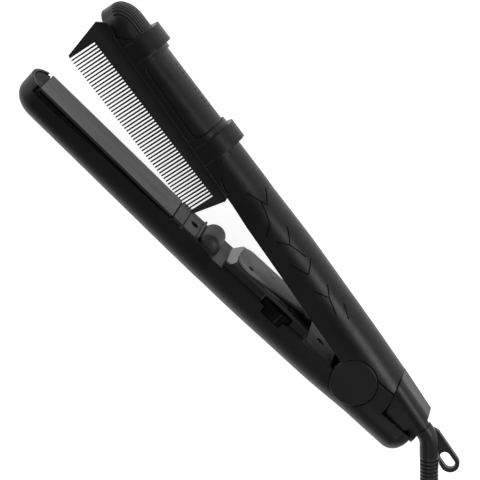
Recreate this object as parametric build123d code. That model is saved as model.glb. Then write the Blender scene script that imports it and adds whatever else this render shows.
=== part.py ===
from build123d import *
import math
import os

# Hair straightener with a clip-on comb, lying on its side on a flat surface.
# Millimetres. X runs along the lower arm with the tip towards -X, Y is square to the lower arm's rim,
# and Z is up, along the hinge. The origin is on the hinge axis at the resting plane.
# Everything is drawn about the mid-plane of the arms and lifted by HALF_WIDTH when it is written.
# "Reach" is a distance from the hinge towards the tip, "level" a distance from the hinge axis that is
# positive towards an arm's own back, and side is -1 on the lower arm and +1 on the upper.

# Stance
OPEN_ANGLE = 13.0
SHUT_ANGLE = 0.8
SHUT_PLATE_GAP = 0.25

# Arms
TIP_REACH = 226.4
BARREL_HALF_WIDTH = 14.2
BARREL_END_REACH = 112.0
GRIP_REACH = 95.0
HALF_WIDTH = 15.7
WALL = 1.6
SIDE_STRIP = 4.5
LOWER_RIM = 2.0
UPPER_RIM = 1.2
LOWER_TIP_BACK = 16.4
LOWER_BARREL_BACK = 20.2
LOWER_GRIP_BACK = 20.8
LOWER_HINGE_BACK = 20.6
LOWER_HEEL_BACK = 19.3
UPPER_TIP_BACK = 14.3
UPPER_BARREL_BACK = 19.0
UPPER_GRIP_BACK = 21.0
UPPER_HINGE_BACK = 21.6
MID_GRIP_REACH = 60.0
NEAR_HINGE_REACH = 18.0
HINGE_END_REACH = -13.0
UPPER_END_REACH = -27.0
HEEL_REACH = -43.4
HEEL_HALF_WIDTH = 14.6
HEEL_ROUND = 8.5
HEEL_WALL = 2.4
FACE_TOLERANCE = 0.05
LOWER_HOOD = -2.0
UPPER_HOOD = -0.8
HOOD_REACH = 219.5
NOSE_RIBS = 12
NOSE_RIB_REAR_REACH = 207.0
NOSE_RIB_PITCH = 1.9
NOSE_RIB_WIDTH = 0.7
NOSE_RIB_DEPTH = 0.45
VENTS = 11
VENT_RADIUS = 0.5
VENT_FRONT_REACH = 184.0
VENT_REAR_REACH = 158.0
VENT_LEAN = 10.0

# Heated plates
PLATE_REAR_REACH = 125.3
PLATE_REAR_HEIGHT = -0.5
PLATE_LENGTH = 92.2
PLATE_WIDTH = 25.0
PLATE_THICKNESS = 1.2
PLATE_TILT = 1.74
PLATE_TRAVEL = 1.0
PLATE_ROOM_GAP = 0.15
PLATE_ROUND = 0.5
HEATER_WIDTH = 17.0
HEATER_DEPTH = 3.6
HEATER_MARGIN = 6.0
RAIL_PLACE = 10.0
RAIL_WIDTH = 1.0
RAIL_DEPTH = 3.2
PAD_RADIUS = 3.0
PAD_SPACING = 56.0
STOP_CLEARANCE = 0.1
CARRIER_HALF_WIDTH = 12.2
CARRIER_FOOT_HALF_WIDTH = 8.2
CARRIER_SIDE_DEPTH = 6.0
CARRIER_DEPTH = 11.5
CARRIER_FLANGE_HALF_WIDTH = 13.4
POCKET_DEPTH = 8.0
POCKET_CLEARANCE = 0.7
HALF_MOON_DROP = 0.9

# Hinge
CAP_RADIUS = 12.4
CAP_THICKNESS = 1.8
CAP_GAP = 0.35
CAP_BEVEL = 0.4
CHEEK_RADIUS = 12.0
CHEEK_INNER = 9.2
KNUCKLE_RADIUS = 10.4
KNUCKLE_INNER = 4.2
PIN_RADIUS = 2.5
RUNNING_GAP = 0.05
SIDE_GAP = 0.2
SEAM_HEIGHT = 9.5
SEAM_RADIUS = 21.3
SEAM_GAP = 0.4
SPRING_WIRE = 1.2
SPRING_RADIUS = 5.4
SPRING_PITCH = 1.6
SPRING_HALF_TURNS = 7
SPRING_LEG = 9.0

# Inner frame of the lower arm
FRAME_FRONT_REACH = 124.6
FRAME_REAR_REACH = 14.2
FRAME_THICKNESS = 2.4
FRAME_CLEARANCE = 0.2
SPACER_END_REACH = 118.6
SPACER_HEIGHT = 1.7
FRONT_PAD_HEIGHT = 1.2
FRONT_PAD_REACH = 117.8
FRONT_PAD_REAR_REACH = 108.0
PAD_HALF_WIDTH = 12.2
LIP_HEIGHT = 1.0
LIP_LENGTH = 1.3
STOP_REACH = 101.5
STOP_RADIUS = 6.2
STOP_END_ROUND = 4.8
STOP_HALF_WIDTH = 12.0
STOP_HEIGHT = 7.0
REAR_PAD_REACH = 32.5
REAR_PAD_REAR_REACH = 16.8
REAR_PAD_CORNER = 2.0
REAR_PAD_HEIGHT = 0.5
FRONT_SCREW_REACH = 113.2
REAR_SCREW_REACH = 24.6
SCREW_HEAD_RADIUS = 2.2
SCREW_HEAD_HEIGHT = 1.4
SCREW_SHANK_RADIUS = 1.25
SCREW_LENGTH = 7.0
SCREW_GAP = 0.1
CROSS_LENGTH = 2.6
CROSS_WIDTH = 0.6
CROSS_DEPTH = 0.7
POST_RADIUS = 3.4

# Controls
HOUSING_FRONT_REACH = 89.8
HOUSING_REAR_REACH = 33.4
HOUSING_HALF_WIDTH = 13.4
HOUSING_TOP = 4.2
HOUSING_WALL = 1.6
HOUSING_FRONT_SLOPE = 4.2
HOUSING_REAR_SLOPE = 1.6
HOUSING_BEVEL = 1.4
PILL_THICKNESS = 1.1
PILL_FRONT_REACH = 86.0
PILL_HALF_WIDTH = 11.6
PILL_FRONT_CORNER = 6.5
PILL_NEAR_TAPER_REACH = 76.0
PILL_FAR_TAPER_REACH = 57.5
PILL_TIP_REACH = 35.8
PILL_TIP_RADIUS = 2.8
PILL_SCREW_FRONT = (77.4, 7.4)
PILL_SCREW_REAR = (38.4, 0.0)
PILL_SCREW_RADIUS = 1.5
PILL_SCREW_GAP = 0.3
PILL_SCREW_RECESS = 0.5
PILL_SCREW_DRIVE = 0.3
PILL_SCREW_SHANK = 0.7
PILL_SCREW_LENGTH = 4.6
PILL_BOSS_RADIUS = 1.9
PILL_BOSS_LENGTH = 3.0
PILL_SLOT_REACH = 44.6
PILL_SLOT_LENGTH = 4.4
PILL_SLOT_WIDTH = 1.2
LENS_PLACE = (64.9, -5.6)
LENS_RADIUS = 1.1
LENS_PROUD = 0.25
DIAL_REACH = 53.7
DIAL_RADIUS = 12.6
DIAL_THICKNESS = 6.4
DIAL_TOP = 1.5
DIAL_PROUD = 1.0
DIAL_RIBS = 30
DIAL_RIB_RADIUS = 0.7
DIAL_SLOT_GAP = 0.6
SHAFT_RADIUS = 1.5
POT_SIZE = 13.0
POT_HEIGHT = 4.2
BOARD_TOP = 10.0
BOARD_LENGTH = 46.0
BOARD_WIDTH = 21.0
BOARD_REACH = 60.0
BOARD_THICKNESS = 1.6
BOARD_POST_RADIUS = 2.2
BOARD_POST_SPACING = 36.0

# Inner cover of the upper arm
NEST_FRONT_REACH = 111.0
NEST_REAR_REACH = 29.6
NEST_DEPTH = 5.2
NEST_ROOF = 1.6
NEST_CLEARANCE = 0.9
UPPER_SCREW_REACH = 118.4

# Rear sleeve and swivel
SLEEVE_LEVEL = 11.8
SLEEVE_HALF_WIDTH = 13.4
SLEEVE_HALF_HEIGHT = 8.6
SLEEVE_END_HALF_WIDTH = 12.0
SLEEVE_END_HALF_HEIGHT = 7.8
SLEEVE_CORNER = 7.4
SLEEVE_SKIRT_DROP = 5.0
SLEEVE_SKIRT_REACH = -36.4
SLEEVE_START_REACH = -6.0
SLEEVE_END_REACH = -41.5
SLEEVE_TAPER_REACH = -54.0
SLEEVE_SLANT = 32.0
SLEEVE_END_SLANT = 22.0
SLEEVE_WALL = 2.0
SLEEVE_ROOM = 0.6
SWIVEL_NECK_RADIUS = 4.4
SWIVEL_FLANGE_RADIUS = 6.0
SWIVEL_FLANGE_LENGTH = 2.0
SWIVEL_FLANGE_REACH = -33.0
RETAINER_THICKNESS = 1.6

# Comb attachment, in the upper arm's reach and level
CLIP_CLEARANCE = 0.15
CLIP_WALL = 1.3
RING_SIDE_STEP = 0.2
RING_PROUD = 4.3
FRONT_RING_REACH = 196.0
REAR_RING_FRONT_REACH = 144.8
REAR_RING_REACH = 135.0
CLIP_RING_REACH = 206.2
CLIP_FRONT_REACH = 214.4
CLIP_REAR_REACH = 116.0
CLIP_LOW = 1.0
CLIP_HIGH = 30.0
CLIP_FRONT_TOP = 13.2
CLIP_FRONT_BOW = [(208.7, 5.7)]
CLIP_REAR_TOP = 20.5
CLIP_REAR_HOLLOW = [(133.3, 15.6), (128.3, 6.3), (120.6, 2.9), (115.2, 2.0)]
WINDOW_REAR_REACH = 148.0
WINDOW_FRONT_REACH = 193.0
WINDOW_LEVEL = 5.0
WINDOW_CORNER = 4.0
BLADE_INNER = 14.5
BLADE_THICKNESS = 1.4
BLADE_TOP = 1.6
BLADE_FRONT_EDGE = [(218.3, -23.4), (224.6, -1.9), (221.6, 2.2), (214.7, 2.6)]
BLADE_REAR_EDGE = [(115.4, 1.6), (114.5, 0.0), (118.0, -18.0)]
TOOTH_GAPS = 55
TOOTH_FRONT_REACH = 217.0
TOOTH_REAR_REACH = 119.6
TOOTH_FRONT_ROOT = -8.3
TOOTH_REAR_ROOT = -3.9
TOOTH_FRONT_TIP = -23.9
TOOTH_REAR_TIP = -18.8
TOOTH_ROOT_SHARE = 0.55
TOOTH_TIP_SHARE = 0.38

# Cord
CORD_DIAMETER = 6.6
ELBOW_RADIUS = 5.0
ELBOW_START = 5.0
ELBOW_BEND_RADIUS = 11.0
ELBOW_TURN = 33.6
ELBOW_END = 7.0
ELBOW_GAP = 2.2
RELIEF_RIBS = 20
RELIEF_PITCH = 2.1
RELIEF_RIB_SHARE = 0.6
RELIEF_CORE_RADIUS = 3.9
RELIEF_START_RADIUS = 4.9
RELIEF_END_RADIUS = 4.5
LOOP_WIDTH = 10.0
LOOP_REACH = 26.5
LOOP_LENGTH = 27.0
LOOP_THICKNESS = 3.0
LOOP_HOLE_WIDTH = 5.6
LOOP_HOLE_LENGTH = 10.0
LOOP_DROP = 2.6
LOOP_SPREAD = 0.6
LOOP_GAP = 0.4
RUN_POINTS = ((13.0, 0.0, 0.0), (28.0, 1.6, 0.45), (43.0, 5.4, 1.0), (56.0, 11.4, 1.0))
CORNER_SHARE = 0.45
COIL_QUARTERS_IN = 14
COIL_QUARTERS_OUT = 12
COIL_RADIUS = 52.0
COIL_PITCH = 7.2
COIL_LEAD = 6.0
TIE_WIDTH = 9.0
TIE_THICKNESS = 1.0
TIE_GAP = 0.3
TIE_INNER_GAP = 0.8
PLUG_LEAD = 30.0
PLUG_LENGTH = 26.0
PLUG_HEIGHT = 21.0
PLUG_WIDTH = 15.0
PLUG_CORNER = 3.0
PLUG_NECK_LENGTH = 8.0
PLUG_NECK_START = 4.2
PLUG_NECK_END = 6.4
PIN_LENGTH = 16.5
PIN_WIDTH = 6.35
PIN_THICKNESS = 1.5
PIN_SPACING = 12.7

# Worked out from the sizes above
NOSE_REACH = TIP_REACH - BARREL_HALF_WIDTH
CHEEK_OUTER = HALF_WIDTH - CAP_THICKNESS
KNUCKLE_OUTER = CHEEK_INNER - SIDE_GAP
LEDGE_DEPTH = PLATE_THICKNESS + PLATE_TRAVEL + STOP_CLEARANCE
SLEEVE_FLOOR_REACH = SWIVEL_FLANGE_REACH - SWIVEL_FLANGE_LENGTH / 2 - SIDE_GAP
RETAINER_REACH = SWIVEL_FLANGE_REACH + SWIVEL_FLANGE_LENGTH / 2 + SIDE_GAP + RETAINER_THICKNESS / 2
DIAL_DEPTH = HALF_WIDTH + DIAL_PROUD - DIAL_RADIUS
CORD_RADIUS = CORD_DIAMETER / 2
RELIEF_LENGTH = RELIEF_RIBS * RELIEF_PITCH
COIL_HEIGHT = -HALF_WIDTH + TIE_THICKNESS + TIE_GAP + CORD_RADIUS
BIG = 400.0


def box(x0, x1, y0, y1, z0, z1):
    """Block between two corners."""
    centre = ((x0 + x1) / 2, (y0 + y1) / 2, (z0 + z1) / 2)
    return Pos(*centre) * Box(abs(x1 - x0), abs(y1 - y0), abs(z1 - z0))


def upright(x, z, radius, y0, y1):
    """Round bar along Y."""
    return Pos(x, (y0 + y1) / 2, z) * Rot(X=90) * Cylinder(radius, abs(y1 - y0))


def across(radius, z0, z1):
    """Round bar along the hinge axis."""
    return Pos(0, 0, (z0 + z1) / 2) * Cylinder(radius, abs(z1 - z0))


def both_sides(shape):
    """A piece and its mirror image about the mid-plane."""
    return shape + mirror(shape, about=Plane.XY)


def plan(points, y0, y1):
    """Outline given in x and z, drawn out between two heights."""
    low = min(y0, y1)
    face = Face(Wire.make_polygon([(x, low, z) for x, z in points], close=True))
    return extrude(face, amount=abs(y1 - y0), dir=(0, 1, 0))


def profile(points, z0, z1):
    """Outline given in x and y, drawn out between two depths."""
    face = Face(Wire.make_polygon([(x, y, z0) for x, y in points], close=True))
    return extrude(face, amount=z1 - z0, dir=(0, 0, 1))


def smooth(t):
    """Even blend from 0 to 1."""
    return (1 - math.cos(math.pi * min(max(t, 0), 1))) / 2


def opened(shape):
    """Turns a piece of the upper arm from the straight position to its open rest."""
    return Rot(Z=-OPEN_ANGLE) * shape


def arm_rim(side):
    return LOWER_RIM if side < 0 else UPPER_RIM


def back_level(side, reach):
    """Level of an arm's back at a reach."""
    if side < 0:
        tip, barrel, grip = LOWER_TIP_BACK, LOWER_BARREL_BACK, LOWER_GRIP_BACK
        hinge, end = LOWER_HINGE_BACK, LOWER_HEEL_BACK
    else:
        tip, barrel, grip = UPPER_TIP_BACK, UPPER_BARREL_BACK, UPPER_GRIP_BACK
        hinge, end = UPPER_HINGE_BACK, UPPER_HINGE_BACK
    if reach >= BARREL_END_REACH:
        return barrel + (tip - barrel) * (reach - BARREL_END_REACH) / (NOSE_REACH - BARREL_END_REACH)
    if reach >= MID_GRIP_REACH:
        share = smooth((BARREL_END_REACH - reach) / (BARREL_END_REACH - MID_GRIP_REACH))
        return barrel + (grip - barrel) * share
    if reach >= NEAR_HINGE_REACH:
        share = smooth((MID_GRIP_REACH - reach) / (MID_GRIP_REACH - NEAR_HINGE_REACH))
        return grip + (hinge - grip) * share
    share = smooth((NEAR_HINGE_REACH - reach) / (NEAR_HINGE_REACH - HINGE_END_REACH))
    return hinge + (end - hinge) * share


def half_width(reach):
    """Half-width of an arm at a reach."""
    if reach >= GRIP_REACH:
        share = smooth((BARREL_END_REACH - reach) / (BARREL_END_REACH - GRIP_REACH))
        return BARREL_HALF_WIDTH + (HALF_WIDTH - BARREL_HALF_WIDTH) * share
    share = smooth((HINGE_END_REACH - reach) / (HINGE_END_REACH - HEEL_REACH))
    return HALF_WIDTH + (HEEL_HALF_WIDTH - HALF_WIDTH) * share


def crown_section(side, reach, low, width, back):
    """Cross-section with straight sides from its low edge to the shoulder and a rounded crown."""
    x = -reach
    shoulder = arm_rim(side) + SIDE_STRIP
    crown_plane = Plane(origin=(x, side * shoulder, 0), x_dir=(0, 0, 1), z_dir=(-side, 0, 0))
    crown = Edge.make_ellipse(width, back - shoulder, crown_plane, 0, 180)
    low_line = Edge.make_line((x, side * low, -width), (x, side * low, width))
    near_side = Edge.make_line((x, side * low, width), (x, side * shoulder, width))
    far_side = Edge.make_line((x, side * shoulder, -width), (x, side * low, -width))
    return Face(Wire([low_line, near_side, crown, far_side]))


def stretch(side, reaches, low, inset):
    """Loft through an arm's cross-sections at the given reaches."""
    faces = []
    for reach in reaches:
        width, back = half_width(reach) - inset, back_level(side, reach) - inset
        faces.append(crown_section(side, reach, low, width, back))
    return loft(faces, ruled=len(faces) == 2)


def arm_form(side, low, inset, end_reach):
    """Outer form of an arm without its nose, or its hollow where inset is the wall."""
    step = (BARREL_END_REACH - GRIP_REACH) / 4
    blend = [BARREL_END_REACH - step * k for k in range(5)]
    grip = [GRIP_REACH, (GRIP_REACH + MID_GRIP_REACH) / 2, MID_GRIP_REACH,
            (MID_GRIP_REACH + NEAR_HINGE_REACH) / 2, NEAR_HINGE_REACH, 0.0, HINGE_END_REACH]
    form = stretch(side, [NOSE_REACH, BARREL_END_REACH], low, inset)
    form += stretch(side, blend, low, inset)
    form += stretch(side, grip, low, inset)
    middle = (HINGE_END_REACH + end_reach) / 2
    return form + stretch(side, [HINGE_END_REACH, middle, end_reach], low, inset)


def nose_form(side, low, inset):
    """Rounded nose: half of the cross-section at the barrel's end, turned half round."""
    x = -NOSE_REACH
    width = BARREL_HALF_WIDTH - inset
    back = back_level(side, NOSE_REACH) - inset
    shoulder = arm_rim(side) + SIDE_STRIP
    crown_plane = Plane(origin=(x, side * shoulder, 0), x_dir=(0, 0, 1), z_dir=(-side, 0, 0))
    crown = Edge.make_ellipse(width, back - shoulder, crown_plane, 0, 90)
    low_line = Edge.make_line((x, side * low, 0), (x, side * low, width))
    near_side = Edge.make_line((x, side * low, width), (x, side * shoulder, width))
    spine = Edge.make_line((x, side * back, 0), (x, side * low, 0))
    face = Face(Wire([low_line, near_side, crown, spine]))
    return revolve(face, axis=Axis((x, 0, 0), (0, -1, 0)), revolution_arc=180)


def hollow_form(side, end_reach):
    """Inside of an arm, open at the rim and through the hood."""
    low = min(arm_rim(side), LOWER_HOOD if side < 0 else UPPER_HOOD) - 1.0
    return arm_form(side, low, WALL, end_reach) + nose_form(side, low, WALL)


def hooded_nose(side):
    """Nose with a raised hood at its very tip."""
    hood = LOWER_HOOD if side < 0 else UPPER_HOOD
    tip_side = box(-TIP_REACH - 1, -HOOD_REACH, -BIG, BIG, -BIG, BIG)
    return nose_form(side, arm_rim(side), 0.0) + (nose_form(side, hood, 0.0) & tip_side)


def screw_posts(side, reaches, form):
    """Posts that take the screws, standing on the inside of an arm's back."""
    top = arm_rim(side) + FRAME_THICKNESS
    posts = []
    for reach in reaches:
        post = upright(-reach, 0, POST_RADIUS, side * top, side * back_level(side, reach)) & form
        depth = top + SCREW_LENGTH
        posts.append(post - upright(-reach, 0, SCREW_SHANK_RADIUS + RUNNING_GAP, side * top, side * depth))
    return posts


def strip_outline(front, rear, clearance):
    """Outline of a strip that fits between an arm's walls."""
    step = (BARREL_END_REACH - GRIP_REACH) / 4
    reaches = [front] + [BARREL_END_REACH - step * k for k in range(5)] + [rear]
    reaches = [reach for reach in reaches if rear <= reach <= front]
    near = [(-reach, half_width(reach) - WALL - clearance) for reach in reaches]
    return near + [(x, -z) for x, z in reversed(near)]


def dial_room(low, high):
    """Room for the thumbwheel in the shell, the frame and the control housing."""
    return upright(-DIAL_REACH, DIAL_DEPTH, DIAL_RADIUS + DIAL_SLOT_GAP, low, high)


def cap_room(inner):
    """Round recess for a hinge cap on each side, from a given depth outwards."""
    return both_sides(across(CAP_RADIUS + CAP_GAP, inner, HALF_WIDTH + 1))


# Lower arm


def heel_rounded(form, end_reach, radius):
    """Form of the lower arm with the edge between its back and its rear end rounded."""
    end_edges = [edge for edge in form.edges() if abs(edge.center().X + end_reach) < FACE_TOLERANCE]
    return fillet([edge for edge in end_edges if edge.center().Y < -LOWER_RIM - FACE_TOLERANCE], radius)


def make_lower_shell():
    form = heel_rounded(arm_form(-1, LOWER_RIM, 0.0, HEEL_REACH), HEEL_REACH, HEEL_ROUND)
    inner_end = HEEL_REACH + HEEL_WALL
    hollow = heel_rounded(hollow_form(-1, inner_end), inner_end, HEEL_ROUND - HEEL_WALL)
    shell = form + hooded_nose(-1) - hollow
    for post in screw_posts(-1, (FRONT_SCREW_REACH, REAR_SCREW_REACH), form):
        shell += post
    for place in (-BOARD_POST_SPACING / 2, BOARD_POST_SPACING / 2):
        foot = -BOARD_TOP - BOARD_THICKNESS
        reach = BOARD_REACH + place
        shell += upright(-reach, 0, BOARD_POST_RADIUS, foot, -back_level(-1, reach)) & form
    depth = -back_level(-1, 0) + WALL / 2
    cheek = across(CHEEK_RADIUS, CHEEK_INNER, CHEEK_OUTER)
    cheek += box(-CHEEK_RADIUS, CHEEK_RADIUS, depth, 0, CHEEK_INNER, CHEEK_OUTER) & form
    rise = across(SEAM_RADIUS, CHEEK_INNER, HALF_WIDTH)
    rise &= box(0, SEAM_RADIUS, -LOWER_RIM - WALL, SEAM_HEIGHT, 0, HALF_WIDTH)
    shell += both_sides(cheek + rise)
    shell -= cap_room(CHEEK_OUTER)
    shell -= across(PIN_RADIUS + RUNNING_GAP, -HALF_WIDTH, HALF_WIDTH)
    shell -= dial_room(DIAL_TOP - DIAL_THICKNESS - DIAL_SLOT_GAP, 0)
    heel_end = box(-HEEL_REACH - 2 * HEEL_WALL, BIG, -BIG, BIG, -BIG, BIG)
    return shell - (opened(sleeve_form(-SLEEVE_ROOM)) & heel_end)


def make_lower_frame():
    outline = strip_outline(FRAME_FRONT_REACH, FRAME_REAR_REACH, FRAME_CLEARANCE)
    low = -LOWER_RIM - FRAME_THICKNESS
    frame = plan(outline, low, -LOWER_RIM)
    spacer_top = -LOWER_RIM + SPACER_HEIGHT
    frame += box(-FRAME_FRONT_REACH, -SPACER_END_REACH, low, spacer_top, -PAD_HALF_WIDTH, PAD_HALF_WIDTH)
    pad_top = -LOWER_RIM + FRONT_PAD_HEIGHT
    frame += box(-FRONT_PAD_REACH, -FRONT_PAD_REAR_REACH, low, pad_top, -PAD_HALF_WIDTH, PAD_HALF_WIDTH)
    lip_front = -FRONT_PAD_REAR_REACH - LIP_LENGTH
    lip_top = pad_top + LIP_HEIGHT
    frame += box(lip_front, -FRONT_PAD_REAR_REACH, low, lip_top, -PAD_HALF_WIDTH, PAD_HALF_WIDTH)
    rear_top = -LOWER_RIM + REAR_PAD_HEIGHT
    rear_pad = box(-REAR_PAD_REACH, -REAR_PAD_REAR_REACH, low, rear_top, -PAD_HALF_WIDTH, PAD_HALF_WIDTH)
    frame += fillet(rear_pad.edges().filter_by(Axis.Y), REAR_PAD_CORNER)
    frame += make_stop()
    for reach in (FRONT_SCREW_REACH, REAR_SCREW_REACH):
        seat = -LOWER_RIM - SCREW_HEAD_HEIGHT
        frame -= upright(-reach, 0, SCREW_HEAD_RADIUS + SCREW_GAP, seat, pad_top + 1)
        frame -= upright(-reach, 0, SCREW_SHANK_RADIUS + SCREW_GAP, low - 1, seat)
    return frame - dial_room(low - 1, 0)


def make_stop():
    """Rounded stop that carries the closing force ahead of the controls."""
    roll = across(STOP_RADIUS, -STOP_HALF_WIDTH, STOP_HALF_WIDTH)
    roll = fillet(roll.edges().filter_by(GeomType.CIRCLE), STOP_END_ROUND)
    raised = Pos(-STOP_REACH, STOP_HEIGHT - STOP_RADIUS - LOWER_RIM, 0) * roll
    return raised & box(-BIG, BIG, -LOWER_RIM - FRAME_THICKNESS / 2, BIG, -BIG, BIG)


def screw(reach, side, seat_level):
    """Cross-head screw that points into an arm's back."""
    head_level = seat_level - SCREW_HEAD_HEIGHT
    x = -reach
    piece = upright(x, 0, SCREW_HEAD_RADIUS, side * head_level, side * seat_level)
    piece += upright(x, 0, SCREW_SHANK_RADIUS, side * seat_level, side * (seat_level + SCREW_LENGTH - 1))
    low, high = side * (head_level - 0.1), side * (head_level + CROSS_DEPTH)
    piece -= box(x - CROSS_LENGTH / 2, x + CROSS_LENGTH / 2, low, high, -CROSS_WIDTH / 2, CROSS_WIDTH / 2)
    piece -= box(x - CROSS_WIDTH / 2, x + CROSS_WIDTH / 2, low, high, -CROSS_LENGTH / 2, CROSS_LENGTH / 2)
    return piece


def make_frame_screws():
    seat = LOWER_RIM + SCREW_HEAD_HEIGHT
    return [screw(FRONT_SCREW_REACH, -1, seat), screw(REAR_SCREW_REACH, -1, seat)]


def housing_outline(inset):
    """Side view of the control housing; the inset outline is its hollow."""
    front, rear = -HOUSING_FRONT_REACH + inset, -HOUSING_REAR_REACH - inset
    base = -LOWER_RIM - (1.0 if inset else 0.0)
    top = HOUSING_TOP - inset
    slope_front, slope_rear = HOUSING_FRONT_SLOPE, HOUSING_REAR_SLOPE
    return [(front, base), (front + slope_front, top), (rear - slope_rear, top), (rear, base)]


def make_control_housing():
    outer = profile(housing_outline(0.0), -HOUSING_HALF_WIDTH, HOUSING_HALF_WIDTH)
    top_edges = [edge for edge in outer.edges().filter_by(Axis.X) if edge.center().Y > 0]
    housing = chamfer(top_edges, HOUSING_BEVEL)
    inner = HOUSING_HALF_WIDTH - HOUSING_WALL
    housing -= profile(housing_outline(HOUSING_WALL), -inner, inner)
    for reach, z in (PILL_SCREW_FRONT, PILL_SCREW_REAR):
        boss_foot = HOUSING_TOP - PILL_BOSS_LENGTH
        housing += upright(-reach, z, PILL_BOSS_RADIUS, boss_foot, HOUSING_TOP)
        housing -= upright(-reach, z, PILL_SCREW_SHANK + RUNNING_GAP, boss_foot - 1, HOUSING_TOP + 1)
    reach, z = LENS_PLACE
    housing -= upright(-reach, z, LENS_RADIUS + RUNNING_GAP, 0, HOUSING_TOP + 1)
    return housing - dial_room(-LOWER_RIM - 1, DIAL_TOP + DIAL_SLOT_GAP)


def tip_touch(taper_reach, tip_centre):
    """Point where a straight side that starts to taper at a reach meets the control plate's round tip."""
    run = tip_centre + taper_reach
    lean = math.atan2(PILL_HALF_WIDTH, run)
    turn = math.asin(PILL_TIP_RADIUS / math.hypot(run, PILL_HALF_WIDTH))
    angle = math.pi / 2 - lean + turn
    return tip_centre + PILL_TIP_RADIUS * math.sin(angle), PILL_TIP_RADIUS * math.cos(angle)


def make_control_plate():
    """Drop-shaped plate on the housing: it tapers early beside the thumbwheel, to a small round tip."""
    tip_centre = -PILL_TIP_REACH - PILL_TIP_RADIUS
    near_x, near_z = tip_touch(PILL_NEAR_TAPER_REACH, tip_centre)
    far_x, far_z = tip_touch(PILL_FAR_TAPER_REACH, tip_centre)
    high = HOUSING_TOP + PILL_THICKNESS
    outline = [(-PILL_FRONT_REACH, PILL_HALF_WIDTH), (-PILL_NEAR_TAPER_REACH, PILL_HALF_WIDTH), (near_x, near_z),
               (far_x, -far_z), (-PILL_FAR_TAPER_REACH, -PILL_HALF_WIDTH), (-PILL_FRONT_REACH, -PILL_HALF_WIDTH)]
    plate = plan(outline, HOUSING_TOP, high)
    front = [edge for edge in plate.edges().filter_by(Axis.Y) if edge.center().X < -PILL_FRONT_REACH + FACE_TOLERANCE]
    plate = fillet(front, PILL_FRONT_CORNER)
    plate += upright(tip_centre, 0, PILL_TIP_RADIUS, HOUSING_TOP, high)
    for reach, z in (PILL_SCREW_FRONT, PILL_SCREW_REAR):
        plate -= upright(-reach, z, PILL_SCREW_RADIUS + PILL_SCREW_GAP, HOUSING_TOP, high + 1)
    reach, z = LENS_PLACE
    plate -= upright(-reach, z, LENS_RADIUS + RUNNING_GAP, HOUSING_TOP - 1, high + 1)
    slot_half = PILL_SLOT_LENGTH / 2
    plate -= box(-PILL_SLOT_REACH - slot_half, -PILL_SLOT_REACH + slot_half, HOUSING_TOP, high + 1,
                 PILL_SLOT_WIDTH, 2 * PILL_SLOT_WIDTH)
    return plate


def make_control_screws():
    screws = []
    high = HOUSING_TOP + PILL_THICKNESS - PILL_SCREW_RECESS
    for reach, z in (PILL_SCREW_FRONT, PILL_SCREW_REAR):
        piece = upright(-reach, z, PILL_SCREW_RADIUS, HOUSING_TOP, high)
        piece += upright(-reach, z, PILL_SCREW_SHANK, high - PILL_SCREW_LENGTH, HOUSING_TOP)
        screws.append(piece - upright(-reach, z, PILL_SCREW_RADIUS / 2, high - PILL_SCREW_DRIVE, high + 1))
    return screws


def make_indicator_lens():
    reach, z = LENS_PLACE
    top = HOUSING_TOP + PILL_THICKNESS + LENS_PROUD
    lens = upright(-reach, z, LENS_RADIUS, HOUSING_TOP - HOUSING_WALL - 1, top)
    rim = [edge for edge in lens.edges() if edge.center().Y > top - 0.01]
    return fillet(rim, LENS_PROUD)


def make_thumbwheel():
    low = DIAL_TOP - DIAL_THICKNESS
    wheel = upright(0, 0, DIAL_RADIUS, low, DIAL_TOP)
    for k in range(DIAL_RIBS):
        angle = 2 * math.pi * k / DIAL_RIBS
        x, z = DIAL_RADIUS * math.cos(angle), DIAL_RADIUS * math.sin(angle)
        wheel -= upright(x, z, DIAL_RIB_RADIUS, low - 1, DIAL_TOP + 1)
    wheel -= upright(0, 0, SHAFT_RADIUS + RUNNING_GAP, low - 1, DIAL_TOP + 1)
    return Pos(-DIAL_REACH, 0, DIAL_DEPTH) * wheel


def make_dial_potentiometer():
    half = POT_SIZE / 2
    x, z = -DIAL_REACH, DIAL_DEPTH
    depth = min(half, half_width(DIAL_REACH) - WALL - FRAME_CLEARANCE - z)
    top = -BOARD_TOP + POT_HEIGHT
    body = box(x - half, x + half, -BOARD_TOP, top, z - half, z + depth)
    return body + upright(x, z, SHAFT_RADIUS, top, DIAL_TOP - 0.5)


def make_circuit_board():
    half = BOARD_LENGTH / 2
    low = -BOARD_TOP - BOARD_THICKNESS
    board = box(-BOARD_REACH - half, -BOARD_REACH + half, low, -BOARD_TOP, -BOARD_WIDTH / 2, BOARD_WIDTH / 2)
    return fillet(board.edges().filter_by(Axis.Y), 1.0)


def make_hinge_pin():
    return across(PIN_RADIUS, -CHEEK_OUTER, CHEEK_OUTER)


def make_cap(side):
    cap = across(CAP_RADIUS, CHEEK_OUTER, HALF_WIDTH)
    rim = [edge for edge in cap.edges() if edge.center().Z > HALF_WIDTH - 0.01]
    cap = chamfer(rim, CAP_BEVEL)
    return cap if side > 0 else mirror(cap, about=Plane.XY)


# Heated plates, drawn with the plate's face at y = 0 facing +Y and its middle at the origin


def plate_seat(side):
    """Place of a heated plate: on the lower arm, or mirrored onto the upper arm across the shut gap."""
    tilt = math.radians(PLATE_TILT)
    half = PLATE_LENGTH / 2
    x = -PLATE_REAR_REACH - half * math.cos(tilt)
    y = PLATE_REAR_HEIGHT + half * math.sin(tilt)
    lower = Pos(x, y, 0) * Rot(Z=-PLATE_TILT)
    if side < 0:
        return lower
    return Rot(Z=SHUT_ANGLE) * lower * Pos(0, SHUT_PLATE_GAP, 0) * Rot(X=180)


def seated(side, shape):
    placed = plate_seat(side) * shape
    return placed if side < 0 else opened(placed)


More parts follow.
